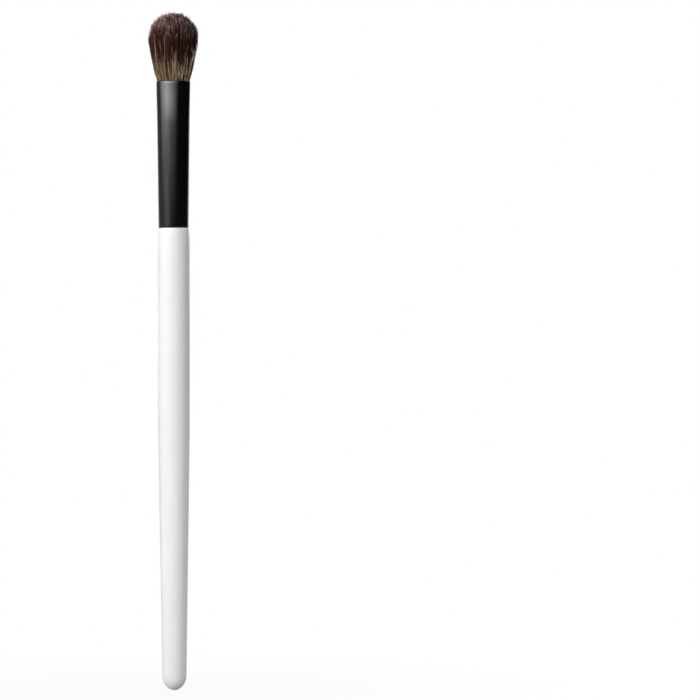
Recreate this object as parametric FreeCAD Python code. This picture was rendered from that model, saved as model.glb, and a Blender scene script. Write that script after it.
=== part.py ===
import FreeCAD, Part
import math
import os

# A slim make-up brush: a domed hair head in a black tube with an oval mouth, on a white lacquered stick.
# Millimetres. +Z runs up the axis from the tail end at zero to the hair tips, and X is the wide way of the mouth.

V = FreeCAD.Vector
up = V(0, 0, 1)

# Lengths along the axis
overall_length = 190.0
hair_out_length = 19.4
ferrule_length = 41.2

# Handle: round all along, with a straight grip, a short neck and a long taper to a rounded tail
grip_diameter = 9.16
grip_length = 28.4
neck_diameter = 8.75
neck_length = 6.0
tail_diameter = 6.76
tail_round_length = 4.1
tail_slope_share = 0.0154
taper_low_share = 0.6
taper_top_share = 0.15
lacquer_thickness = 0.2
shoulder_easing = 0.12

# Ferrule: a drawn tube, round at the back, pressed oval towards its mouth, with its edges rolled over
ferrule_back_diameter = 8.45
ferrule_mouth_width = 9.58
ferrule_mouth_thickness = 6.9
ferrule_wall = 0.4
ferrule_seat_gap = 0.05
flare_length = 12.0
flare_share = 0.15
lip_radius = 0.26
lip_inner_radius = 0.08

# Tenon: the turned end of the wood that is glued into the ferrule, with grooves that key the glue
tenon_share = 0.485
tenon_chamfer = 0.6
glue_thickness = 0.2
groove_count = 2
groove_depth = 0.25
groove_width = 1.4
groove_spacing_share = 0.3

# Hair: an oval bundle that flares out of the mouth and ends in a dome
head_width = 13.8
head_thickness = 10.2
dome_length = 7.3
dome_flat_width = 1.0
hair_in_share = 0.437
flank_curve_share = 0.35

# Root binding: one thread wound round the root of the bundle
thread_diameter = 0.3
thread_pitch = 0.75
thread_turns = 5
binding_margin = 0.6
binding_gap = 0.05

# Resin: the plug that holds the bound root in the ferrule
resin_wall = 0.3
resin_floor = 1.5

# Clearance between fitted faces, and how far a cutting solid runs past what it cuts
film_gap = 0.02
cut_overrun = 1.0

# How finely the curved forms are drawn: long faces come in spans about as long as they are wide
tail_spans = 3
taper_spans = 8
neck_spans = 2
ferrule_rings = 7
lip_rings = 3
sleeve_rings = 3
plug_rings = 3
throat_rings = 7
flank_rings = 9
dome_rings = 9
thread_sides = 5
points_per_turn = 40
quarter_ellipse_share = 0.5523

# Heights that follow
mouth_z = overall_length - hair_out_length
ferrule_back_z = mouth_z - ferrule_length
shoulder_z = ferrule_back_z - ferrule_seat_gap
grip_top_z = shoulder_z - neck_length
grip_low_z = grip_top_z - grip_length
tenon_top_z = shoulder_z + ferrule_length * tenon_share
belly_z = overall_length - dome_length
root_z = mouth_z - ferrule_length * hair_in_share
bound_length = 2 * binding_margin + thread_turns * thread_pitch
bound_top_z = root_z + bound_length


def spread(low, high, count):
    """count evenly spaced values from low to high, both included."""
    return [low + (high - low) * i / (count - 1) for i in range(count)]


def between(low, high, share):
    """Two half axes that lie share of the way from low to high."""
    return [a + (b - a) * share for a, b in zip(low, high)]


def smooth_step(share):
    """0 to 1 with level ends, held outside that range."""
    held = min(1, max(0, share))
    return held * held * (3 - 2 * held)


def ferrule_half_axes(z, inset):
    """Half the tube's width and thickness at height z, drawn in by inset."""
    flare = smooth_step((z - (mouth_z - flare_length)) / flare_length)
    pressed = (1 - flare_share) * (z - ferrule_back_z) / ferrule_length + flare_share * flare
    back = [ferrule_back_diameter / 2] * 2
    mouth = [ferrule_mouth_width / 2, ferrule_mouth_thickness / 2]
    return [half - inset for half in between(back, mouth, pressed)]


# Radii that follow from the ferrule's bore, from the outside in
tenon_radius = ferrule_half_axes(tenon_top_z, ferrule_wall + glue_thickness)[1]
pocket_radius = ferrule_half_axes(bound_top_z, ferrule_wall + film_gap + resin_wall)[1]
winding_radius = pocket_radius - binding_gap - thread_diameter / 2
root_radius = winding_radius - thread_diameter / 2 - film_gap


def oval(half_axes, z):
    """A level ellipse as a wire of four quarters that start at +X, whichever half axis is the longer."""
    half_width, half_thickness = half_axes
    ends = [V(half_width, 0, 0), V(0, half_thickness, 0), V(-half_width, 0, 0), V(0, -half_thickness, 0)]
    quarters = []
    for a, b in zip(ends, ends[1:] + ends[:1]):
        poles = [a, a + b * quarter_ellipse_share, b + a * quarter_ellipse_share, b]
        quarter = Part.BezierCurve()
        quarter.setPoles([pole + up * z for pole in poles])
        quarters.append(quarter.toShape())
    return Part.Wire(quarters)


def stacked(rings):
    """A solid through level ovals, given as (half axes, height) pairs from the lowest up."""
    return Part.makeLoft([oval(*ring) for ring in rings], True, True)


def ferrule_filling(low_z, high_z, inset, count):
    """A solid that fills the tube's outline, drawn in by inset, between two heights."""
    return stacked([(ferrule_half_axes(z, inset), z) for z in spread(low_z, high_z, count)])


def curve_spans(poles, count):
    """A Bezier curve through its poles, as count edges end to end."""
    shares = spread(0, 1, count + 1)
    edges = []
    for first, last in zip(shares, shares[1:]):
        curve = Part.BezierCurve()
        curve.setPoles(poles)
        curve.segment(first, last)
        edges.append(curve.toShape())
    return edges


def chain(points):
    """Straight edges through (radius, height) pairs in the XZ plane."""
    places = [V(radius, 0, z) for radius, z in points]
    return [Part.makeLine(a, b) for a, b in zip(places, places[1:])]


def turned(edges):
    """The solid that a closed half outline sweeps about the axis."""
    face = Part.Face(Part.Wire(Part.__sortEdges__(edges)))
    return face.revolve(V(0, 0, 0), up, 360)


def handle_outline(inset, neck_top_z):
    """Edges from the tail end up to the neck at height neck_top_z, drawn in by inset."""
    slope = V(tail_slope_share, 0, 1)
    tip = V(0, 0, inset)
    start = V(tail_diameter / 2 - inset, 0, tail_round_length)
    across = V(start.x, 0, 0) * quarter_ellipse_share
    upward = slope * ((tail_round_length - inset) * quarter_ellipse_share)
    rounding = curve_spans([tip, tip + across, start - upward, start], tail_spans)

    end = V(grip_diameter / 2 - inset, 0, grip_low_z)
    rise = end.z - start.z
    low_pole = start + slope * (rise * taper_low_share)
    taper = curve_spans([start, low_pole, end - up * (rise * taper_top_share), end], taper_spans)

    grip_top = V(end.x, 0, grip_top_z)
    neck_top = V(neck_diameter / 2 - inset, 0, neck_top_z)
    grip = Part.makeLine(end, grip_top)
    halfway = grip_top + up * ((neck_top_z - grip_top_z) / 2)
    neck = curve_spans([grip_top, halfway, neck_top], neck_spans)
    return [*rounding, *taper, grip, *neck]


def tenon_outline(grow):
    """(radius, height) pairs up the grooved tenon from the shoulder, grown by grow."""
    radius = tenon_radius + grow
    points = [(radius, shoulder_z)]
    middle = (shoulder_z + tenon_top_z) / 2
    spacing = (tenon_top_z - shoulder_z) * groove_spacing_share
    for i in range(groove_count):
        low = middle + (i - (groove_count - 1) / 2) * spacing - groove_width / 2
        high = low + groove_width
        points.append((radius, low))
        points.append((radius - groove_depth, low + groove_depth))
        points.append((radius - groove_depth, high - groove_depth))
        points.append((radius, high))
    points.append((radius, tenon_top_z - tenon_chamfer))
    points.append((radius - tenon_chamfer, tenon_top_z + grow))
    return points


def make_handle_core():
    """The wooden stick with its tenon, one turning."""
    inset = lacquer_thickness + film_gap
    top_z = shoulder_z - inset
    tenon = tenon_outline(0)
    above = chain([
        (neck_diameter / 2 - inset, top_z),
        (tenon_radius, top_z),
        *tenon,
        (0, tenon_top_z),
        (0, inset),
    ])
    return turned(handle_outline(inset, top_z) + above)


def make_handle_lacquer():
    """The glossy coat over the stick and its shoulder, open only where the tenon stands out."""
    eased_z = shoulder_z - shoulder_easing
    closing = chain([
        (neck_diameter / 2, eased_z),
        (neck_diameter / 2 - shoulder_easing, shoulder_z),
        (0, shoulder_z),
        (0, 0),
    ])
    outer = turned(handle_outline(0, eased_z) + closing)

    inner_top_z = shoulder_z - lacquer_thickness
    inner_closing = chain([
        (neck_diameter / 2 - lacquer_thickness, inner_top_z),
        (0, inner_top_z),
        (0, lacquer_thickness),
    ])
    inner = turned(handle_outline(lacquer_thickness, inner_top_z) + inner_closing)
    hole_length = lacquer_thickness + 2 * cut_overrun
    hole = Part.makeCylinder(tenon_radius + film_gap, hole_length, V(0, 0, inner_top_z - cut_overrun))
    return outer.cut(inner).cut(hole)


def make_ferrule():
    """The black tube: its outer edges are rolled over at both ends, and its inner edge at the mouth."""
    def rolled(end_z, way, inset, radius):
        """Rings round a quarter circle, from the end face to where the wall runs straight."""
        rings = []
        for angle in spread(0, math.pi / 2, lip_rings):
            z = end_z - way * abs(radius) * (1 - math.cos(angle))
            rings.append((ferrule_half_axes(z, inset + radius * (1 - math.sin(angle))), z))
        return rings

    def straight(low_z, high_z, inset):
        heights = spread(low_z, high_z, ferrule_rings)
        return [(ferrule_half_axes(z, inset), z) for z in heights]

    back_lip = rolled(ferrule_back_z, -1, 0, lip_radius)
    mouth_lip = rolled(mouth_z, 1, 0, lip_radius)
    wall = straight(ferrule_back_z + lip_radius, mouth_z - lip_radius, 0)
    outer = stacked(back_lip + wall[1:-1] + mouth_lip[::-1])

    bore_lip = rolled(mouth_z, 1, ferrule_wall, -lip_inner_radius)
    bore_wall = straight(ferrule_back_z, mouth_z - lip_inner_radius, ferrule_wall)
    return outer.cut(stacked(bore_wall[:-1] + bore_lip[::-1]))


def make_tenon_glue():
    """The glue sleeve between the tenon and the ferrule's bore, keyed into the grooves."""
    top_z = tenon_top_z - tenon_chamfer
    filling = ferrule_filling(ferrule_back_z, top_z, ferrule_wall + film_gap, sleeve_rings)
    tenon = tenon_outline(film_gap)
    wood = turned(chain([
        (0, shoulder_z),
        *tenon,
        (0, tenon[-1][1]),
        (0, shoulder_z),
    ]))
    return filling.cut(wood)


def make_resin_plug():
    """The cup of resin that bonds the bound root of the hair into the ferrule."""
    filling = ferrule_filling(root_z - resin_floor, bound_top_z, ferrule_wall + film_gap, plug_rings)
    pocket = Part.makeCylinder(pocket_radius, bound_length + cut_overrun, V(0, 0, root_z - film_gap))
    return filling.cut(pocket)


def biarc(start, start_way, end, end_way):
    """Two arcs of one tangent length that leave start along start_way and reach end along end_way."""
    span = end - start
    square = 2 * (start_way.dot(end_way) - 1)
    linear = -2 * span.dot(start_way + end_way)
    reach = (-linear - math.sqrt(linear**2 - 4 * square * span.dot(span))) / (2 * square)
    corners = [start + start_way * reach, end - end_way * reach]
    joint = (corners[0] + corners[1]) / 2
    arcs = []
    for a, corner, b in ((start, corners[0], joint), (joint, corners[1], end)):
        chord_middle = (a + b) / 2
        cosine = (b - a).Length / (2 * reach)
        top = chord_middle + (corner - chord_middle) * (cosine / (1 + cosine))
        arcs.append(Part.Arc(a, top, b).toShape())
    return arcs


def make_root_binding():
    """One thread wound round the root in open turns, with a straight end of one diameter each way."""
    def place(turns):
        angle = 2 * math.pi * turns
        z = root_z + binding_margin + thread_pitch * turns
        return V(winding_radius * math.cos(angle), winding_radius * math.sin(angle), z)

    def way(turns):
        angle = 2 * math.pi * turns
        tangent = V(-winding_radius * math.sin(angle), winding_radius * math.cos(angle), 0)
        return (tangent + up * (thread_pitch / (2 * math.pi))).normalize()

    first = place(0) - way(0) * thread_diameter
    last = place(thread_turns) + way(thread_turns) * thread_diameter
    quarters = spread(0, thread_turns, 4 * thread_turns + 1)
    edges = [Part.makeLine(first, place(0))]
    for a, b in zip(quarters, quarters[1:]):
        edges += biarc(place(a), way(a), place(b), way(b))
    edges.append(Part.makeLine(place(thread_turns), last))
    path = Part.Wire(edges)

    side = way(0).cross(up).normalize()
    over = way(0).cross(side)
    corners = []
    for i in range(thread_sides + 1):
        angle = 2 * math.pi * i / thread_sides
        corners.append(first + (side * math.cos(angle) + over * math.sin(angle)) * (thread_diameter / 2))
    print("least gap between the thread's turns, mm:", round(least_gap(path), 3))
    return path.makePipeShell([Part.makePolygon(corners)], True, False)


def least_gap(path):
    """Least free space between the thread and itself, for points over half a turn apart."""
    points = path.discretize(Number=points_per_turn * thread_turns + 1)
    apart = points_per_turn // 2
    near = min(
        (points[i] - points[j]).Length
        for i in range(len(points)) for j in range(i + apart, len(points))
    )
    return near - thread_diameter


def make_hair_tuft():
    """The hair as one soft solid: bound root, neck in the ferrule, flaring flanks and dome."""
    bound = [root_radius, root_radius]
    throat = ferrule_half_axes(mouth_z, ferrule_wall + film_gap)
    belly = [head_width / 2, head_thickness / 2]
    rings = [(bound, root_z)]
    for rise in spread(0, 1, throat_rings):
        rings.append((between(bound, throat, rise), bound_top_z + (mouth_z - bound_top_z) * rise))
    for rise in spread(0, 1, flank_rings)[1:]:
        opened = flank_curve_share * math.sin(math.pi / 2 * rise) + (1 - flank_curve_share) * rise
        rings.append((between(throat, belly, opened), mouth_z + (belly_z - mouth_z) * rise))
    top_angle = math.acos(dome_flat_width / head_width)
    for angle in spread(0, top_angle, dome_rings)[1:]:
        half_axes = [half * math.cos(angle) for half in belly]
        rings.append((half_axes, belly_z + dome_length * math.sin(angle) / math.sin(top_angle)))
    return stacked(rings)


makers = {
    "handle_core": make_handle_core,
    "handle_lacquer": make_handle_lacquer,
    "tenon_glue": make_tenon_glue,
    "ferrule": make_ferrule,
    "resin_plug": make_resin_plug,
    "root_binding": make_root_binding,
    "hair_tuft": make_hair_tuft,
}

os.makedirs("parts", exist_ok=True)
for node, make in makers.items():
    shape = make()
    print(node, "solids", len(shape.Solids), "valid", shape.isValid(), "volume", round(shape.Volume, 2))
    shape.exportStep("parts/" + node + ".step")
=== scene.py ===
import math

import bpy
import numpy as np
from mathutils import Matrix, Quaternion, Vector


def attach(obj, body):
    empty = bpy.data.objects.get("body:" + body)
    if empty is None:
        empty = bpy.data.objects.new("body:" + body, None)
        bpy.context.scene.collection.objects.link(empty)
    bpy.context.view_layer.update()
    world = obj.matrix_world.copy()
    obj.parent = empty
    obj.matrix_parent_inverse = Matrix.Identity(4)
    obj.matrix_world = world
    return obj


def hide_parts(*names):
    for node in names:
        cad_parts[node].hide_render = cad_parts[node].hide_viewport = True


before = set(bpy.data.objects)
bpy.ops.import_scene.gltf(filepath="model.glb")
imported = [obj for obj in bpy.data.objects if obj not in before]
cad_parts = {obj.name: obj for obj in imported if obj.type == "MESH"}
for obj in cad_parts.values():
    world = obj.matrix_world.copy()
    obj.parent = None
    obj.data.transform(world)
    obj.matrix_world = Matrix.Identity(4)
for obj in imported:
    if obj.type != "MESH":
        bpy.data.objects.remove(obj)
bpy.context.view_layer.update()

# The looks of a slim make-up brush: smooth lacquer and tube, and a head of single hairs.
# Lengths are millimetres, as in the CAD source, and become metres where Blender takes them.
MM = 0.001
seed = 7

# The picture: where the brush's axis meets its tail end, in pixels from the top left corner
picture_pixels = 700
millimetres_per_pixel = 0.2802
tail_pixel = (174.5, 690.0)
picture_roll_degrees = 0.113
eye_distance = 900.0
sensor_width = 36.0
view_depth = 100000.0

# Lengths along the axis
overall_length = 190.0
hair_out_length = 19.4
ferrule_length = 41.2

# Handle
grip_diameter = 9.16
grip_length = 28.4
neck_diameter = 8.75
neck_length = 6.0
tail_diameter = 6.76
tail_round_length = 4.1
tail_slope_share = 0.0154
taper_low_share = 0.6
taper_top_share = 0.15
lacquer_thickness = 0.2
shoulder_easing = 0.12
shoulder_hole_diameter = 6.6

# Ferrule
ferrule_back_diameter = 8.45
ferrule_mouth_width = 9.58
ferrule_mouth_thickness = 6.9
ferrule_wall = 0.4
ferrule_seat_gap = 0.05
flare_length = 12.0
flare_share = 0.15
lip_radius = 0.26
lip_inner_radius = 0.08

# Hair head: its flanks spread over the ferrule's lip, and its dome leans in towards the top
head_width = 13.8
head_thickness = 10.2
dome_length = 7.3
flank_curve_share = 0.3
lip_spread = 0.3
lip_spread_length = 0.6
dome_lean_share = 0.05
root_depth = 1.6

# The mass under the hairs, painted dark as the shade deep in the head
mass_share = 0.84
mass_top_gap = 1.7

# How many meshes the hairs are shared out to
hair_pieces = 4

# A single hair: a three-sided thread that waves a little and tapers over its last stretch
hair_sides = 3
hair_rings = 9
hair_diameter = 0.09
hair_diameter_spread = 0.25
hair_diameter_limit = 0.5
hair_tip_length = 1.3
hair_end_share = 0.4
wave_height = 0.09
wave_evenness = 2
wave_turns = (0.5, 1.8)

# A hair's colour goes by its stage, which runs from 0 at the mouth over the belly to 1 at the tip
belly_height = 12.0
belly_stage = 0.6
tip_zone_length = 3.0

# Usual hairs taper into wisps, and the wisps rise from locks; a few wisps cross over the others
lock_count = 150
lock_root_share = 0.2
wisp_count = 2200
wisp_hairs = 5
wisp_root_radius_share = 0.015
wisp_tip_radius_share = 0.012
wisp_lean_share = 0.02
wisp_top_scatter = 0.4
hair_lean_share = 0.008
hair_top_scatter = 0.35
disturbance_share = 0.3
edge_fuzz_share = 0.09
crossing_share = 0.16
crossing_reach_share = 0.26
crossing_power = 5.0

# Short wisps end below the others, and inner hairs start at a darker stage, which paints shade deep in the
# head
short_wisp_share = 0.45
short_wisp_reach = 6.0
short_lean_share = 0.03
short_tip_stage = 0.82
shaded_inner_share = 0.9
painted_shade_stage = 0.4

# How the usual hairs' stages and tones vary, and how much lighter the tones on the left side are painted, as
# painted light
stage_scatter = 0.065
scatter_end_stage = 0.9
painted_left_light_share = 0.42
lock_tone_share = 0.4
hair_tone_scatter = 0.2

# Strays: single hairs that stand apart from the wisps
stray_count = 1300
stray_out_share = 0.04
stray_lean_share = 0.012
stray_reach = 2.5
stray_rise = 0.5

# Guard hairs: fine pale bundles over the flanks, low ones all round and higher ones on the left
guard_count = 170
guard_hairs_most = 3
guard_root_radius_share = 0.004
guard_tip_radius_share = 0.006
guard_left_share = 0.33
guard_left_angle = 0.6
guard_left_spread = 0.3
guard_turn = 0.2
guard_low = 3.0
guard_high = 14.0
guard_low_power = 1.2
guard_low_share = 0.7
guard_power = 2.0
guard_scatter = 1.5
guard_in_share = 0.06
guard_lean_share = 0.008
# Painted light: how much lighter the guard bundles on the shaded right side are made
painted_right_lift_share = 0.2

# The strand map: across it a column for each tone, the guard hairs' first and the usual hairs' after a gap,
# and up it the stage
tint_columns = 256
guard_columns = 12
first_usual_column = 14
corner_places = (0.2, 0.8, 0.5)
map_margin = 0.01

# How finely the smooth pieces are drawn
around = 128
quarter_ellipse_share = 0.5523
arc_steps = 12
taper_steps = 48
wall_steps = 56
flank_steps = 24

# The softboxes' glow: how fast it falls across, and what share of the height their dim edges take
softbox_falloff = 2.6
softbox_edge_share = 0.3

# Each softbox: its degrees round from the front to the right and up, the height that it faces and its roll,
# then how far off, wide, high and bright it is
softboxes = {
    "key": dict(
        azimuth=-32.5, elevation=14.8, target_z=160.0, roll=2.4,
        distance=620.0, width=2300.0, height=185.0, brightness=12.6,
    ),
    "low_left": dict(
        azimuth=-46.0, elevation=0.0, target_z=160.0, roll=0.0,
        distance=800.0, width=1500.0, height=300.0, brightness=0.8,
    ),
    "high": dict(
        azimuth=18.0, elevation=52.0, target_z=120.0, roll=0.0,
        distance=1000.0, width=900.0, height=600.0, brightness=6.5,
    ),
    "back_right": dict(
        azimuth=138.0, elevation=50.0, target_z=95.0, roll=0.0,
        distance=1000.0, width=900.0, height=600.0, brightness=9.0,
    ),
    "back_left": dict(
        azimuth=-118.0, elevation=50.0, target_z=95.0, roll=0.0,
        distance=1000.0, width=900.0, height=600.0, brightness=7.0,
    ),
}

# The room that the gloss and the shade see: levels of white, and the directions over which each sets in
backdrop_level = 1.0
backdrop_range = (0.66, 0.81)
left_level = 0.33
left_range = (0.55, 0.95)
above_level = 0.34
above_range = (0.45, 0.9)
room_level = 0.01

# The floor: how strong its shadow is, how far it reaches, and what share of its white gloss shows
floor_half_width = 3000.0
floor_shadow_share = 0.07
floor_shadow_reach = 120.0
floor_gloss_share = 0.35

# How deep the finishes' relief is
lacquer_relief = 0.02
paint_relief = 0.012
mass_relief = 0.2
wood_relief = 0.05
set_liquid_relief = 0.04
thread_relief = 0.05

# The share of its colour that set glue or resin has where its clouds are darkest
cloud_shade_share = 0.7

# Colours, as linear red, green and blue
lacquer_white = (0.86, 0.862, 0.86)
lacquer_shade = (0.84, 0.842, 0.838)
tube_black = (0.0014, 0.0014, 0.0015)
tube_dust = (0.0035, 0.0035, 0.0036)
hair_cream = (0.11, 0.075, 0.042)
hair_khaki = (0.07, 0.043, 0.025)
hair_dark = (0.040, 0.0118, 0.0066)
hair_burgundy = (0.105, 0.033, 0.035)
hair_brown = (0.092, 0.050, 0.037)
# Partly the hairs' own pale tips, partly painted sheen that lightens the top of the head as if lit from
# above.
hair_pale_tip_and_sheen = (0.68, 0.42, 0.42)
hair_brown_tip = (0.17, 0.095, 0.08)
hair_palest = (0.80, 0.72, 0.66)
guard_root = (0.28, 0.235, 0.17)
guard_pale = (0.45, 0.30, 0.175)
guard_high_up = (0.34, 0.22, 0.17)
mass_painted_shade = (0.008, 0.004, 0.003)
wood_light = (0.62, 0.46, 0.29)
wood_dark = (0.44, 0.29, 0.16)
glue_amber = (0.70, 0.55, 0.30)
resin_amber = (0.33, 0.19, 0.07)
thread_cream = (0.70, 0.64, 0.52)
thread_shade = (0.40, 0.35, 0.27)
floor_pale = (0.38, 0.38, 0.38)
white = (1.0, 1.0, 1.0)

# A hair's colours at its stages; reddish and brownish hairs differ towards their tips
root_stops = [(0.0, hair_khaki), (0.10, hair_cream), (0.24, hair_khaki), (0.40, hair_dark), (0.66, hair_dark)]
reddish_stops = [*root_stops, (0.88, hair_burgundy), (1.0, hair_pale_tip_and_sheen)]
brownish_stops = [*root_stops, (0.88, hair_brown), (1.0, hair_brown_tip)]
guard_stops = [(0.0, guard_root), (0.15, guard_pale), (0.6, guard_high_up), (1.0, hair_pale_tip_and_sheen)]

# How strong a hair's colour is, from the darkest column to the lightest, and the chances between which it
# turns from brownish to reddish
usual_tint_range = (0.1, 3.8)
usual_tint_power = 3.5
guard_tint_range = (0.25, 2.1)
reddish_chance_range = (0.35, 0.65)

# Heights that follow
mouth_z = overall_length - hair_out_length
ferrule_back_z = mouth_z - ferrule_length
shoulder_z = ferrule_back_z - ferrule_seat_gap
grip_top_z = shoulder_z - neck_length
grip_low_z = grip_top_z - grip_length
flank_length = hair_out_length - dome_length


# Forms

def smooth_step(share):
    """0 to 1 with level ends, held outside that range."""
    held = min(1, max(0, share))
    return held * held * (3 - 2 * held)


def ferrule_half_axes(z, inset):
    """Half the tube's width and thickness at height z, drawn in by inset."""
    flare = smooth_step((z - (mouth_z - flare_length)) / flare_length)
    pressed = (1 - flare_share) * (z - ferrule_back_z) / ferrule_length + flare_share * flare
    half_back = ferrule_back_diameter / 2
    half_width = half_back + (ferrule_mouth_width / 2 - half_back) * pressed
    half_thickness = half_back + (ferrule_mouth_thickness / 2 - half_back) * pressed
    return half_width - inset, half_thickness - inset


def curve_points(poles, steps):
    """(radius, height) points on a Bezier curve of any degree."""
    degree = len(poles) - 1
    points = []
    for t in np.linspace(0, 1, steps + 1):
        weights = [math.comb(degree, i) * t**i * (1 - t) ** (degree - i) for i in range(degree + 1)]
        points.append(tuple(sum(w * pole[k] for w, pole in zip(weights, poles)) for k in (0, 1)))
    return points


def handle_outline(inset, neck_top_z):
    """(radius, height) points from the tail end up to the neck, drawn in by inset."""
    start_x = tail_diameter / 2 - inset
    reach = (tail_round_length - inset) * quarter_ellipse_share
    rounding = curve_points([
        (0, inset),
        (start_x * quarter_ellipse_share, inset),
        (start_x - tail_slope_share * reach, tail_round_length - reach),
        (start_x, tail_round_length),
    ], arc_steps * 2)
    end_x = grip_diameter / 2 - inset
    rise = grip_low_z - tail_round_length
    taper = curve_points([
        (start_x, tail_round_length),
        (start_x + tail_slope_share * rise * taper_low_share, tail_round_length + rise * taper_low_share),
        (end_x, grip_low_z - rise * taper_top_share),
        (end_x, grip_low_z),
    ], taper_steps)
    halfway_z = (grip_top_z + neck_top_z) / 2
    neck_x = neck_diameter / 2 - inset
    neck = curve_points([(end_x, grip_top_z), (end_x, halfway_z), (neck_x, neck_top_z)], arc_steps)
    return rounding + taper[1:] + neck


def skin(rings, closed):
    """Places and faces of a skin over level ovals, given as (half width, half thickness, height).

    A ring of no size is a pole, and a closed skin goes back from its last ring to its first.
    """
    places, rows = [], []
    for half_width, half_thickness, z in rings:
        count = 1 if half_width <= 0 else around
        row = []
        for i in range(count):
            angle = 2 * math.pi * i / around
            row.append(len(places))
            places.append((half_width * math.cos(angle), half_thickness * math.sin(angle), z))
        rows.append(row * around if count == 1 else row)
    faces = []
    for low, high in zip(rows, rows[1:] + rows[:1] if closed else rows[1:]):
        for i in range(around):
            j = (i + 1) % around
            # Beside a pole two of the corners are one, and the face is a triangle.
            face = [low[i], low[j], high[j], high[i]]
            faces.append(tuple(dict.fromkeys(face)))
    return places, faces


def new_piece(name, places, faces, material, slot, *nodes):
    """A piece of the brush from places in millimetres and faces."""
    mesh = bpy.data.meshes.new(name)
    mesh.from_pydata([tuple(c * MM for c in place) for place in places], [], faces)
    mesh.update()
    return dress(name, mesh, material, slot, *nodes)


def dress(name, mesh, material, slot, *nodes):
    """The mesh as a smooth piece that rides on the brush and stands for the CAD nodes named."""
    mesh.shade_smooth()
    mesh.materials.append(material)
    piece = bpy.data.objects.new(name, mesh)
    bpy.context.scene.collection.objects.link(piece)
    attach(piece, "root")
    if nodes:
        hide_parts(*nodes)
    return piece


# Shader nodes

def add(tree, kind, sockets=(), **settings):
    """A new node; a socket's value is a constant or the output that feeds it."""
    node = tree.nodes.new("ShaderNode" + kind)
    for name, value in settings.items():
        setattr(node, name, value)
    for key, value in dict(sockets).items():
        if isinstance(value, bpy.types.NodeSocket):
            tree.links.new(value, node.inputs[key])
        else:
            node.inputs[key].default_value = value
    return node


def ramp(tree, share, stops):
    """A colour ramp's output over share, for stops of (place, colour)."""
    node = add(tree, "ValToRGB", {"Fac": share})
    elements = node.color_ramp.elements
    while len(elements) < len(stops):
        elements.new(0)
    for element, (place, colour) in zip(elements, stops):
        element.position = place
        element.color = (*colour, 1)
    return node.outputs["Color"]


def mix(tree, share, low, high):
    """The colour that lies share of the way from low to high."""
    sockets = {"Factor": share, "A": low, "B": high}
    return add(tree, "Mix", sockets, data_type="RGBA").outputs["Result"]


def scaled(tree, colour, strength):
    """The colour times a number."""
    return add(tree, "VectorMath", {0: colour, "Scale": strength}, operation="SCALE").outputs["Vector"]


def map_range(tree, value, low, high, new_low, new_high, way="LINEAR"):
    """The value, taken from one range to another."""
    sockets = {"Value": value, "From Min": low, "From Max": high, "To Min": new_low, "To Max": new_high}
    return add(tree, "MapRange", sockets, interpolation_type=way).outputs["Result"]


def maths(tree, operation, *values):
    """The result of one sum on numbers or outputs."""
    return add(tree, "Math", dict(enumerate(values)), operation=operation).outputs["Value"]


def noise(tree, place, waves, detail):
    """A noise pattern's value at place, with so many waves to the metre."""
    return add(tree, "TexNoise", {"Vector": place, "Scale": waves, "Detail": detail}).outputs["Fac"]


def drawn_out(tree, place, share):
    """The places with their heights times share, which draws a pattern out along the brush."""
    return add(tree, "Mapping", {"Vector": place, "Scale": (1, 1, share)}).outputs["Vector"]


def new_finish(name, constants):
    """A material, its node tree, its shader with the constants, and the object's own places in metres."""
    material = bpy.data.materials.new(name)
    material.use_nodes = True
    tree = material.node_tree
    shader = tree.nodes["Principled BSDF"]
    for key, value in constants.items():
        shader.inputs[key].default_value = value
    place = add(tree, "TexCoord").outputs["Object"]
    return material, tree, shader, place


def colour_by(tree, shader, pattern, start, end, low, high):
    """Takes the shader's colour from low to high as the pattern rises from start to end."""
    colour = ramp(tree, pattern, [(start, low), (end, high)])
    tree.links.new(colour, shader.inputs["Base Color"])


def roughen_by(tree, shader, pattern, start, end, low, high):
    """Takes the shader's roughness from low to high as the pattern rises from start to end."""
    tree.links.new(map_range(tree, pattern, start, end, low, high), shader.inputs["Roughness"])


def relief_by(tree, shader, pattern, strength, depth):
    """Feeds the shader's normal from the pattern, depth being its full height in millimetres."""
    bump = add(tree, "Bump", {"Height": pattern, "Strength": strength, "Distance": depth * MM})
    tree.links.new(bump.outputs["Normal"], shader.inputs["Normal"])


# Finishes

def make_lacquer():
    """Glossy white lacquer: a flow pattern too faint to see but in a highlight, and hardly uneven gloss."""
    constants = {"Coat Weight": 0.6, "Coat Roughness": 0.05, "Specular IOR Level": 0.5}
    material, tree, shader, place = new_finish("white_lacquer_gloss", constants)
    broad = noise(tree, place, waves=60, detail=3)
    colour_by(tree, shader, broad, start=0.3, end=0.6, low=lacquer_shade, high=lacquer_white)
    fine = noise(tree, place, waves=700, detail=2)
    roughen_by(tree, shader, fine, start=0.3, end=0.7, low=0.16, high=0.24)
    flow = noise(tree, place, waves=420, detail=1)
    relief_by(tree, shader, flow, strength=0.12, depth=lacquer_relief)
    return material


def make_tube_paint():
    """Satin black paint on drawn metal: fine grain, faint draw lines along the tube, and a little dust."""
    material, tree, shader, place = new_finish("black_satin_paint", {"Specular IOR Level": 0.6})
    lines = noise(tree, drawn_out(tree, place, share=0.03), waves=3200, detail=3)
    grain = noise(tree, place, waves=9000, detail=2)
    both = maths(tree, "DIVIDE", maths(tree, "ADD", lines, grain), 2)
    colour_by(tree, shader, both, start=0.45, end=0.72, low=tube_black, high=tube_dust)
    roughen_by(tree, shader, both, start=0.35, end=0.65, low=0.13, high=0.19)
    relief_by(tree, shader, both, strength=0.25, depth=paint_relief)
    return material


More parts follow.
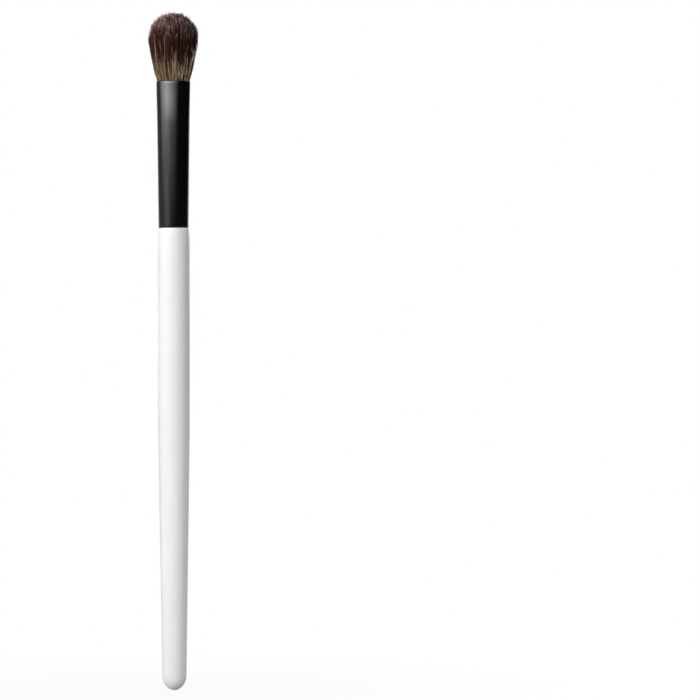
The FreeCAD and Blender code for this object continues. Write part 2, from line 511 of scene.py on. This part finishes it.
def make_hair_finish():
    """Hair coloured from root to tip, each wisp with its own tone; both are read from the strand map."""
    constants = {"Specular IOR Level": 0.1, "Roughness": 0.4}
    material, tree, shader, _ = new_finish("soft_brown_hair", constants)
    strand = add(tree, "UVMap", uv_map="strand").outputs["UV"]
    split = add(tree, "SeparateXYZ", {"Vector": strand})
    column = maths(tree, "FLOOR", maths(tree, "MULTIPLY", split.outputs["X"], tint_columns))
    stage = split.outputs["Y"]

    chance = add(tree, "TexWhiteNoise", {"W": column}, noise_dimensions="1D").outputs["Value"]
    redness = map_range(tree, chance, *reddish_chance_range, 0, 1)
    usual = mix(tree, redness, ramp(tree, stage, brownish_stops), ramp(tree, stage, reddish_stops))
    share = map_range(tree, column, first_usual_column, tint_columns, 0, 1)
    usual_tint = map_range(tree, maths(tree, "POWER", share, usual_tint_power), 0, 1, *usual_tint_range)
    guard_tint = map_range(tree, column, 0, guard_columns - 1, *guard_tint_range)

    toned_usual = scaled(tree, usual, usual_tint)
    toned_guard = scaled(tree, ramp(tree, stage, guard_stops), guard_tint)
    every = mix(tree, maths(tree, "GREATER_THAN", column, guard_columns), toned_guard, toned_usual)
    held = add(tree, "VectorMath", {0: every, 1: hair_palest}, operation="MINIMUM")
    tree.links.new(held.outputs["Vector"], shader.inputs["Base Color"])
    return material


def make_mass_finish():
    """The mass of hair under the single hairs, painted dark as the shade deep in the head, and streaked along
    the hair.
    """
    constants = {"Specular IOR Level": 0.2, "Roughness": 0.7}
    material, tree, shader, place = new_finish("hair_mass", constants)
    streaks = noise(tree, drawn_out(tree, place, share=0.06), waves=2600, detail=3)
    colour_by(tree, shader, streaks, start=0.35, end=0.7, low=mass_painted_shade, high=hair_dark)
    relief_by(tree, shader, streaks, strength=0.8, depth=mass_relief)
    return material


def make_wood():
    """Pale hardwood with its grain along the stick."""
    material, tree, shader, place = new_finish("turned_wood", {"Roughness": 0.6})
    grain = noise(tree, drawn_out(tree, place, share=0.05), waves=900, detail=4)
    colour_by(tree, shader, grain, start=0.35, end=0.65, low=wood_dark, high=wood_light)
    relief_by(tree, shader, grain, strength=0.4, depth=wood_relief)
    return material


def make_set_liquid(name, colour, roughness):
    """Set glue or resin, clouded unevenly."""
    material, tree, shader, place = new_finish(name, {"Roughness": roughness, "Specular IOR Level": 0.5})
    clouds = noise(tree, place, waves=500, detail=3)
    darker = tuple(c * cloud_shade_share for c in colour)
    colour_by(tree, shader, clouds, start=0.35, end=0.65, low=darker, high=colour)
    relief_by(tree, shader, clouds, strength=0.3, depth=set_liquid_relief)
    return material


def make_thread():
    """Waxed thread with a slanting twist."""
    material, tree, shader, place = new_finish("binding_thread", {"Roughness": 0.7})
    sockets = {"Vector": place, "Scale": 900, "Distortion": 1}
    twist = add(tree, "TexWave", sockets, bands_direction="DIAGONAL").outputs["Fac"]
    colour_by(tree, shader, twist, start=0.2, end=0.7, low=thread_shade, high=thread_cream)
    relief_by(tree, shader, twist, strength=0.6, depth=thread_relief)
    return material


# The smooth coat and tube

def make_coat(material):
    """The lacquered handle as one turned shell, open where the tenon leaves it."""
    outer = handle_outline(0, shoulder_z - shoulder_easing)
    outer.append((neck_diameter / 2 - shoulder_easing, shoulder_z))
    under_z = shoulder_z - lacquer_thickness
    hole_radius = shoulder_hole_diameter / 2
    inner = handle_outline(lacquer_thickness, under_z)
    outline = outer + [(hole_radius, shoulder_z), (hole_radius, under_z)] + inner[::-1]
    places, faces = skin([(radius, radius, z) for radius, z in outline], False)
    return new_piece("handle_coat", places, faces, material, "white_lacquer", "handle_lacquer")


def make_tube(material):
    """The ferrule as one closed wall with rolled edges."""
    def rolled(end_z, way, inset, radius):
        """Rings round a quarter circle, from the end face to where the wall runs straight."""
        rings = []
        for angle in np.linspace(0, math.pi / 2, arc_steps + 1):
            z = end_z - way * abs(radius) * (1 - math.cos(angle))
            rings.append((*ferrule_half_axes(z, inset + radius * (1 - math.sin(angle))), z))
        return rings

    def straight(low_z, high_z, inset):
        return [(*ferrule_half_axes(z, inset), z) for z in np.linspace(low_z, high_z, wall_steps + 1)]

    outer = rolled(ferrule_back_z, -1, 0, lip_radius)
    outer += straight(ferrule_back_z + lip_radius, mouth_z - lip_radius, 0)[1:-1]
    outer += rolled(mouth_z, 1, 0, lip_radius)[::-1]
    bore = rolled(mouth_z, 1, ferrule_wall, -lip_inner_radius)
    bore += straight(ferrule_back_z, mouth_z - lip_inner_radius, ferrule_wall)[:-1][::-1]
    places, faces = skin(outer + bore, True)
    return new_piece("ferrule_tube", places, faces, material, "black_ferrule", "ferrule")


# Where hairs stand: places across the head lie on the unit disc, whose edge is the head's outline

def head_half_axes(height):
    """Half the width and thickness of the head, as an array over heights above the mouth."""
    throat = np.array(ferrule_half_axes(mouth_z, ferrule_wall))
    belly = np.array([head_width / 2, head_thickness / 2])
    rise = np.clip(height / flank_length, 0, 1)
    opened = flank_curve_share * np.sin(math.pi / 2 * rise) + (1 - flank_curve_share) * rise
    spread = lip_spread * (1 - np.exp(-np.maximum(height, 0) / lip_spread_length)) * (1 - rise)
    above = np.clip((height - flank_length) / dome_length, 0, 1)
    held = 1 - dome_lean_share * above**2
    return (throat + (belly - throat) * opened[..., None] + spread[..., None]) * held[..., None]


def dome_top(out):
    """Height above the mouth at which the head's surface lies, out being 1 at its widest."""
    return flank_length + dome_length * np.sqrt(np.maximum(0, 1 - out**2))


def ways(angle):
    """Unit vectors at the angles, one to a row."""
    return np.column_stack([np.cos(angle), np.sin(angle)])


def held_in(points):
    """The points, with those outside the unit disc brought back to its edge."""
    return points / np.maximum(1, np.linalg.norm(points, axis=1))[:, None]


def random_disc(count, rng):
    """Random points all over the unit disc."""
    radius = np.sqrt(rng.random(count))
    return ways(2 * math.pi * rng.random(count)) * radius[:, None]


def even_disc(count, rng):
    """Points spread evenly over the unit disc and then a little disturbed."""
    index = np.arange(count)
    radius = np.sqrt((index + 0.5) / count)
    # Turning by the golden angle from point to point keeps them apart.
    points = ways(index * math.pi * (3 - math.sqrt(5))) * radius[:, None]
    points += rng.normal(0, disturbance_share * math.sqrt(1 / count), points.shape)
    return held_in(points)


# The hair

def grow(rooted, tipped, power, top, lean, tip_zone, rng):
    """Centre lines, radii and stages of hairs that run from one place on the unit disc to another."""
    count = len(rooted)
    last = (1 - hair_tip_length / (top + root_depth))[:, None]
    along = np.concatenate([np.linspace(0, 1, hair_rings - 1)[None, :] * last, np.ones((count, 1))], axis=1)
    height = -root_depth + (top[:, None] + root_depth) * along
    moved = (1 - (1 - along) ** power[:, None])[..., None]
    place = rooted[:, None, :] + (tipped - rooted)[:, None, :] * moved
    phase = 2 * math.pi * rng.random((count, 1, 2))
    turns = rng.uniform(*wave_turns, (count, 1, 2))
    wave = wave_height * rng.gamma(wave_evenness, 1 / wave_evenness, (count, 1, 1))
    swing = np.sin(2 * math.pi * turns * along[..., None] + phase) * wave * along[..., None]
    level = place * head_half_axes(height) + swing + lean[:, None, :] * np.maximum(height, 0)[..., None]
    centres = np.concatenate([level, (mouth_z + height)[..., None]], axis=2)
    varied = rng.normal(0, hair_diameter_spread, count).clip(-hair_diameter_limit, hair_diameter_limit)
    thinning = np.ones(hair_rings)
    thinning[-1] = hair_end_share
    radii = (hair_diameter * (1 + varied))[:, None] / 2 * thinning
    from_root = belly_stage * np.clip(height / belly_height, 0, 1)
    from_tip = 1 - (1 - belly_stage) * (top[:, None] - height) / tip_zone
    stage = np.maximum(from_root, from_tip)
    return centres, radii, stage


def columns_of(tone, count):
    """Which of count columns holds each tone, from 0 for the darkest to 1 for the lightest."""
    return np.floor(np.clip(tone, 0, 1) * count).clip(max=count - 1).astype(int)


def usual_hairs(rng):
    """Hairs in wisps all over the head: their lines, radii, stages and columns of the strand map."""
    locks = even_disc(lock_count, rng)
    tips = even_disc(wisp_count, rng) * (1 - edge_fuzz_share)
    nearest = np.linalg.norm(tips[:, None] - locks[None], axis=2).argmin(axis=1)
    roots = locks[nearest] + (tips - locks[nearest]) * lock_root_share
    crossing = rng.random(wisp_count) < crossing_share
    crossed = roots + rng.normal(0, crossing_reach_share, roots.shape)
    roots = held_in(np.where(crossing[:, None], crossed, roots))
    power = np.where(crossing, crossing_power, 1)
    wisp_lean = rng.normal(0, wisp_lean_share, (wisp_count, 2))
    short = rng.random(wisp_count) < short_wisp_share
    drop = np.abs(rng.normal(0, wisp_top_scatter, wisp_count))
    drop += np.where(short, rng.random(wisp_count), 0) * short_wisp_reach
    shift = rng.normal(0, stage_scatter, wisp_count)
    own_tone = rng.random(wisp_count) > lock_tone_share
    wisp_tone = np.where(own_tone, rng.random(wisp_count), rng.random(lock_count)[nearest])
    # Painted light: wisps towards the left, where the key lamp falls, get lighter tones.
    wisp_tone -= painted_left_light_share * tips[:, 0]

    wisp = np.repeat(np.arange(wisp_count), wisp_hairs)
    count = len(wisp)
    within = random_disc(count, rng)
    rooted = held_in(roots[wisp] + within * wisp_root_radius_share)
    tipped = held_in(tips[wisp] + within * wisp_tip_radius_share)
    top = dome_top(np.linalg.norm(tipped, axis=1)) - drop[wisp]
    top -= np.abs(rng.normal(0, hair_top_scatter, count))
    outward = tips * (short * short_lean_share * rng.random(wisp_count))[:, None]
    lean = (wisp_lean + outward)[wisp] + rng.normal(0, hair_lean_share, (count, 2))
    lines, radii, stage = grow(rooted, tipped, power[wisp], top, lean, tip_zone_length, rng)

    stage = np.where(short[wisp][:, None], np.minimum(stage, short_tip_stage), stage)
    stage = np.clip(stage + shift[wisp][:, None] * (stage < scatter_end_stage), 0, 1)
    # Painted shade: hairs rooted inside the head start at a darker stage, as if shaded by the hairs around
    # them.
    inner = np.linalg.norm(rooted, axis=1) < shaded_inner_share
    stage[inner] = np.maximum(stage[inner], painted_shade_stage)
    tone = wisp_tone[wisp] + rng.normal(0, hair_tone_scatter, count)
    column = first_usual_column + columns_of(tone, tint_columns - first_usual_column)
    return lines, radii, stage, column


def stray_hairs(rng):
    """Single hairs all over the head, some of them past its outline: the same four arrays."""
    way = ways(2 * math.pi * rng.random(stray_count))
    out = np.sqrt(rng.random(stray_count))
    tips = way * (out + stray_out_share * rng.random(stray_count))[:, None]
    lean = way * rng.uniform(0, stray_lean_share, (stray_count, 1))
    top = dome_top(out) + rng.uniform(-stray_reach, stray_rise, stray_count)
    power = np.ones(stray_count)
    lines, radii, stage = grow(held_in(tips), tips, power, top, lean, tip_zone_length, rng)
    column = rng.integers(first_usual_column, tint_columns, stray_count)
    return lines, radii, stage, column


def guard_hairs(rng):
    """Pale hairs in fine bundles over the flanks: the same four arrays."""
    angle = 2 * math.pi * (np.arange(guard_count) + rng.random(guard_count)) / guard_count
    on_left = rng.random(guard_count) < guard_left_share
    side = rng.choice([-1, 1], guard_count)
    left_angle = math.pi + side * rng.normal(guard_left_angle, guard_left_spread, guard_count)
    angle = np.where(on_left, left_angle, angle)
    turned = angle + rng.normal(0, guard_turn, guard_count)
    any_rise = rng.random(guard_count)
    low_rise = guard_low_share * rng.random(guard_count) ** guard_low_power
    rise = np.where(on_left, any_rise, low_rise)
    out = rng.uniform(1 - guard_in_share, 1, guard_count)

    guard = np.repeat(np.arange(guard_count), rng.integers(1, guard_hairs_most + 1, guard_count))
    count = len(guard)
    rooted = ways(angle)[guard] + random_disc(count, rng) * guard_root_radius_share
    tipped = (ways(turned) * out[:, None])[guard] + random_disc(count, rng) * guard_tip_radius_share
    top = guard_low + (guard_high - guard_low) * rise[guard] - rng.random(count) * guard_scatter
    lean = tipped * rng.uniform(0, guard_lean_share, (count, 1))
    power = np.full(count, guard_power)
    lines, radii, stage = grow(held_in(rooted), tipped, power, top, lean, hair_tip_length, rng)
    # Painted light: guard bundles on the right, the shaded side, are made lighter to stand in for the light
    # they lack.
    tone = rng.random(guard_count) + painted_right_lift_share * np.cos(angle)
    return lines, radii, stage, columns_of(tone, guard_columns)[guard]


def hair_mesh(name, centres, radii, stage, column):
    """One mesh of tapering hairs, closed at both ends, with its strand map."""
    count, rings, _ = centres.shape
    corner = 2 * math.pi * (np.arange(hair_sides) / hair_sides)
    ring = np.column_stack([ways(corner), np.zeros(hair_sides)])
    places = centres[:, :, None, :] + radii[:, :, None, None] * ring
    first = (np.arange(count) * rings * hair_sides)[:, None, None]
    level = (np.arange(rings - 1) * hair_sides)[None, :, None]
    side = np.arange(hair_sides)[None, None, :]
    beside = (side + 1) % hair_sides
    a, b = first + level + side, first + level + beside
    quads = np.stack([a, b, b + hair_sides, a + hair_sides], axis=-1).reshape(-1, 4)
    root = first[:, 0] + np.arange(hair_sides)[::-1]
    tip = first[:, 0] + (rings - 1) * hair_sides + np.arange(hair_sides)
    corners = np.concatenate([quads.ravel(), root.ravel(), tip.ravel()])
    starts = np.concatenate([
        np.arange(len(quads)) * 4,
        quads.size + np.arange(2 * count) * hair_sides,
    ])
    mesh = bpy.data.meshes.new(name)
    mesh.vertices.add(count * rings * hair_sides)
    mesh.vertices.foreach_set("co", (places * MM).ravel())
    mesh.loops.add(len(corners))
    mesh.loops.foreach_set("vertex_index", corners.astype(np.int32))
    mesh.polygons.add(len(starts))
    mesh.polygons.foreach_set("loop_start", starts.astype(np.int32))
    mesh.update(calc_edges=True)
    # Across, a hair keeps to its own column of the map; the corners only give it some width.
    across = (column[:, None, None] + np.array(corner_places)) / tint_columns
    upward = stage[:, :, None] * (1 - 2 * map_margin) + map_margin
    both = [np.broadcast_to(part, (count, rings, hair_sides)).ravel() for part in (across, upward)]
    coordinates = np.column_stack(both)[corners].astype(np.float32)
    for map_name in ("strand", "OFBake"):
        mesh.uv_layers.new(name=map_name).uv.foreach_set("vector", coordinates.ravel())
    return mesh


def make_hair(material):
    """The head of single hairs, in pieces small enough to be kept whole."""
    rng = np.random.default_rng(seed)
    groups = [usual_hairs(rng), stray_hairs(rng), guard_hairs(rng)]
    lines, radii, stage, column = (np.concatenate(arrays) for arrays in zip(*groups))
    for i, chosen in enumerate(np.array_split(np.arange(len(column)), hair_pieces)):
        name = "hair_strands_" + str(i + 1)
        mesh = hair_mesh(name, lines[chosen], radii[chosen], stage[chosen], column[chosen])
        nodes = ["hair_tuft"] if i == 0 else []
        dress(name, mesh, material, "hair", *nodes)


def make_mass(material):
    """The closed body inside the head, which keeps light from passing between the hairs; its dark colour is
    painted shade.
    """
    rings = [(0, 0, mouth_z - root_depth)]
    heights = np.linspace(-root_depth, flank_length, flank_steps + 1)
    axes = head_half_axes(heights) * mass_share
    rings += [(w, t, mouth_z + h) for (w, t), h in zip(axes, heights)]
    cap_height = dome_length - mass_top_gap
    for angle in np.linspace(0, math.pi / 2, arc_steps + 1)[1:-1]:
        w, t = axes[-1] * math.cos(angle)
        rings.append((w, t, mouth_z + flank_length + cap_height * math.sin(angle)))
    rings.append((0, 0, mouth_z + flank_length + cap_height))
    places, faces = skin(rings, False)
    return new_piece("hair_mass", places, faces, material, "hair")


# Camera, floor and light

def make_camera():
    """Looks level at the brush's front from where its axis falls on its place in the picture."""
    camera = bpy.data.cameras.new("camera")
    camera.sensor_width = sensor_width
    camera.lens = sensor_width * eye_distance / (picture_pixels * millimetres_per_pixel)
    camera.clip_end = view_depth * MM
    eye = bpy.data.objects.new("camera", camera)
    across = (picture_pixels / 2 - tail_pixel[0]) * millimetres_per_pixel
    up = (tail_pixel[1] - picture_pixels / 2) * millimetres_per_pixel
    roll = math.radians(picture_roll_degrees)
    x = across * math.cos(roll) + up * math.sin(roll)
    z = up * math.cos(roll) - across * math.sin(roll)
    eye.location = (x * MM, -eye_distance * MM, z * MM)
    eye.rotation_euler = (math.pi / 2, roll, 0)
    bpy.context.scene.collection.objects.link(eye)
    bpy.context.scene.camera = eye


def softbox(name, azimuth, elevation, target_z, roll, distance, width, height, brightness):
    """An area lamp that faces the brush's axis and dims towards its own edges."""
    lamp = bpy.data.lights.new(name, "AREA")
    lamp.shape = "RECTANGLE"
    lamp.size = width * MM
    lamp.size_y = height * MM
    lamp.energy = brightness * math.pi * (width * MM) * (height * MM)
    lamp.use_nodes = True
    tree = lamp.node_tree
    # Both places run from 0 to 1 over the lamp and are folded at its middle.
    middle = 0.5
    split = add(tree, "SeparateXYZ", {"Vector": add(tree, "NewGeometry").outputs["Parametric"]})
    across = maths(tree, "PINGPONG", split.outputs["X"], middle)
    across = maths(tree, "POWER", map_range(tree, across, 0, middle, 0, 1), softbox_falloff)
    upward = maths(tree, "PINGPONG", split.outputs["Y"], middle)
    upward = map_range(tree, upward, 0, softbox_edge_share * middle, 0, 1, "SMOOTHSTEP")
    glow = maths(tree, "MULTIPLY", across, upward)
    tree.links.new(glow, tree.nodes["Emission"].inputs["Strength"])
    stand = bpy.data.objects.new(name, lamp)
    a, e = math.radians(azimuth), math.radians(elevation)
    way = Vector((math.sin(a) * math.cos(e), -math.cos(a) * math.cos(e), math.sin(e)))
    stand.location = Vector((0, 0, target_z * MM)) + way * (distance * MM)
    turn = way.to_track_quat("Z", "Y") @ Quaternion((0, 0, 1), math.radians(roll))
    stand.rotation_euler = turn.to_euler()
    bpy.context.scene.collection.objects.link(stand)


def seen_directly(tree):
    """A light path node, and an output that is 1 for the camera's own rays, also through glass."""
    path = add(tree, "LightPath")
    return path, maths(tree, "MAXIMUM", path.outputs["Is Camera Ray"], path.outputs["Is Transmission Ray"])


def make_world():
    """White to the camera; elsewhere a white backdrop behind, a pale side on the left and a dark room."""
    world = bpy.data.worlds.new("studio")
    world.use_nodes = True
    tree = world.node_tree
    background = tree.nodes["Background"]
    background.inputs["Color"].default_value = (*white, 1)
    way = add(tree, "TexCoord").outputs["Generated"]
    split = add(tree, "SeparateXYZ", {"Vector": way})
    behind = map_range(tree, split.outputs["Y"], *backdrop_range, 0, backdrop_level, "SMOOTHSTEP")
    leftward = maths(tree, "MULTIPLY", split.outputs["X"], -1)
    left = map_range(tree, leftward, *left_range, 0, left_level, "SMOOTHSTEP")
    above = map_range(tree, split.outputs["Z"], *above_range, 0, above_level, "SMOOTHSTEP")
    room = maths(tree, "ADD", maths(tree, "ADD", behind, left), maths(tree, "ADD", above, room_level))
    path, seen = seen_directly(tree)
    # The background stands behind the brush, and gloss shows it from there.
    shiny = maths(tree, "MULTIPLY", path.outputs["Is Glossy Ray"], behind)
    shown = maths(tree, "MAXIMUM", seen, shiny)
    strength = add(tree, "Mix", {"Factor": shown, "A": room, "B": 1})
    tree.links.new(strength.outputs["Result"], background.inputs["Strength"])
    bpy.context.scene.world = world


def make_floor():
    """A pale floor, white to the camera but for the shadow near the brush."""
    mesh = bpy.data.meshes.new("floor")
    half = floor_half_width * MM
    corners = [(-half, -half, 0), (half, -half, 0), (half, half, 0), (-half, half, 0)]
    mesh.from_pydata(corners, [], [(0, 1, 2, 3)])
    material = bpy.data.materials.new("floor_pale")
    material.use_nodes = True
    tree = material.node_tree
    tree.nodes.remove(tree.nodes["Principled BSDF"])
    place = add(tree, "TexCoord").outputs["Object"]
    away = add(tree, "VectorMath", {0: place}, operation="LENGTH").outputs["Value"]
    shadow = map_range(tree, away, 0, floor_shadow_reach * MM, floor_shadow_share, 0, "SMOOTHSTEP")
    path, seen = seen_directly(tree)
    # Gloss shows a part of the floor's white, so that black paint still looks black from above.
    shiny = maths(tree, "MULTIPLY", path.outputs["Is Glossy Ray"], floor_gloss_share)
    shown = maths(tree, "MAXIMUM", seen, shiny)
    whitened = maths(tree, "MULTIPLY", shown, maths(tree, "SUBTRACT", 1, shadow))
    plain = add(tree, "BsdfDiffuse", {"Color": (*floor_pale, 1)})
    glow = add(tree, "Emission", {"Color": (*white, 1), "Strength": 1})
    mixed = add(tree, "MixShader", {0: whitened, 1: plain.outputs["BSDF"], 2: glow.outputs["Emission"]})
    tree.links.new(mixed.outputs["Shader"], tree.nodes["Material Output"].inputs["Surface"])
    mesh.materials.append(material)
    floor = bpy.data.objects.new("floor", mesh)
    bpy.context.scene.collection.objects.link(floor)


def give(node, material):
    """Gives a CAD node that stays in view its material."""
    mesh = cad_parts[node].data
    mesh.materials.clear()
    mesh.materials.append(material)


make_camera()
make_world()
make_floor()
for softbox_name, softbox_values in softboxes.items():
    softbox(softbox_name, **softbox_values)

make_coat(make_lacquer())
make_tube(make_tube_paint())
make_mass(make_mass_finish())
make_hair(make_hair_finish())
give("handle_core", make_wood())
give("tenon_glue", make_set_liquid("tenon_glue_set", glue_amber, roughness=0.35))
give("resin_plug", make_set_liquid("root_resin_set", resin_amber, roughness=0.2))
give("root_binding", make_thread())

bpy.context.scene.view_settings.view_transform = "Standard"
